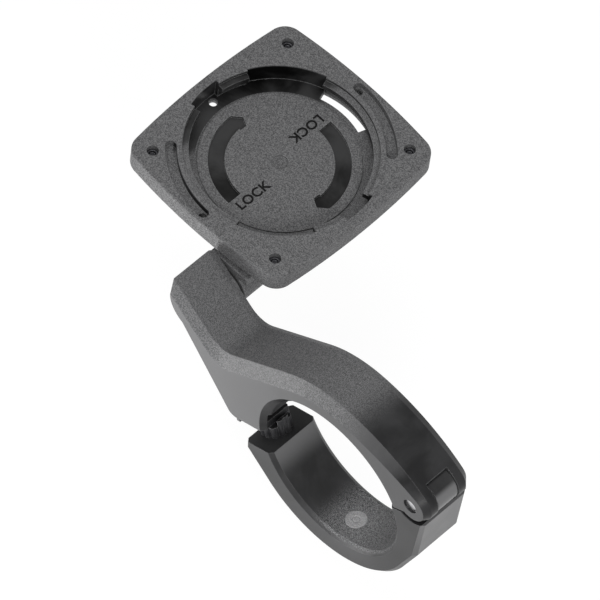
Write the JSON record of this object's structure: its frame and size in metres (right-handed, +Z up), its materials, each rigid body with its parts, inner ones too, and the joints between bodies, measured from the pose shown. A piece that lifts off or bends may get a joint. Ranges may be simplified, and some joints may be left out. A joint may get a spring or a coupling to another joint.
{
  "type": "bike computer mount",
  "caption": "Hinged handlebar clamp with a bent side arm that carries a tilting twist-lock cradle for a small bike computer.",
  "frame": {"origin": "centre of the handlebar bore, at the middle of the clamp's width", "axes": "+X forward from the bar to the cradle, +Y along the bar away from the cradle, +Z up, square to the cradle's face"},
  "size_m": [0.0894, 0.0548, 0.044],
  "materials": {
    "arm_plastic": "black glass-filled plastic with a fine eroded grain",
    "cradle_plastic": "black glass-filled plastic with a fine eroded grain",
    "bright_steel": "plain steel",
    "black_steel": "blackened steel, satin",
    "black_metal": "blackened metal with worn ridges",
    "brass": "turned brass",
    "black_nylon": "black nylon"
  },
  "bodies": {
    "arm": {"arm_body": "arm_plastic", "hinge_pin": "bright_steel", "lug_insert": "brass", "tilt_screw": "black_steel", "tilt_insert": "brass", "friction_washer": "black_nylon", "tilt_washer": "bright_steel"},
    "strap": {"strap": "arm_plastic", "clamp_bolt": "black_steel", "bolt_washer": "bright_steel", "clamp_nut": "black_metal"},
    "cradle": {"cradle_plate": "cradle_plastic", "cradle_base": "cradle_plastic", "corner_screws": "black_steel"}
  },
  "joints": [
    {"name": "strap_hinge", "type": "hinge", "parent": "arm", "child": "strap", "pos_m": [-0.0183, 0, 0.0134], "axis": [0, 1, 0], "range_deg": [0, 85]},
    {"name": "cradle_tilt", "type": "hinge", "parent": "arm", "child": "cradle", "pos_m": [0.0382, -0.0133, 0.0076], "axis": [0, 1, 0], "range_deg": [-30, 40]}
  ]
}
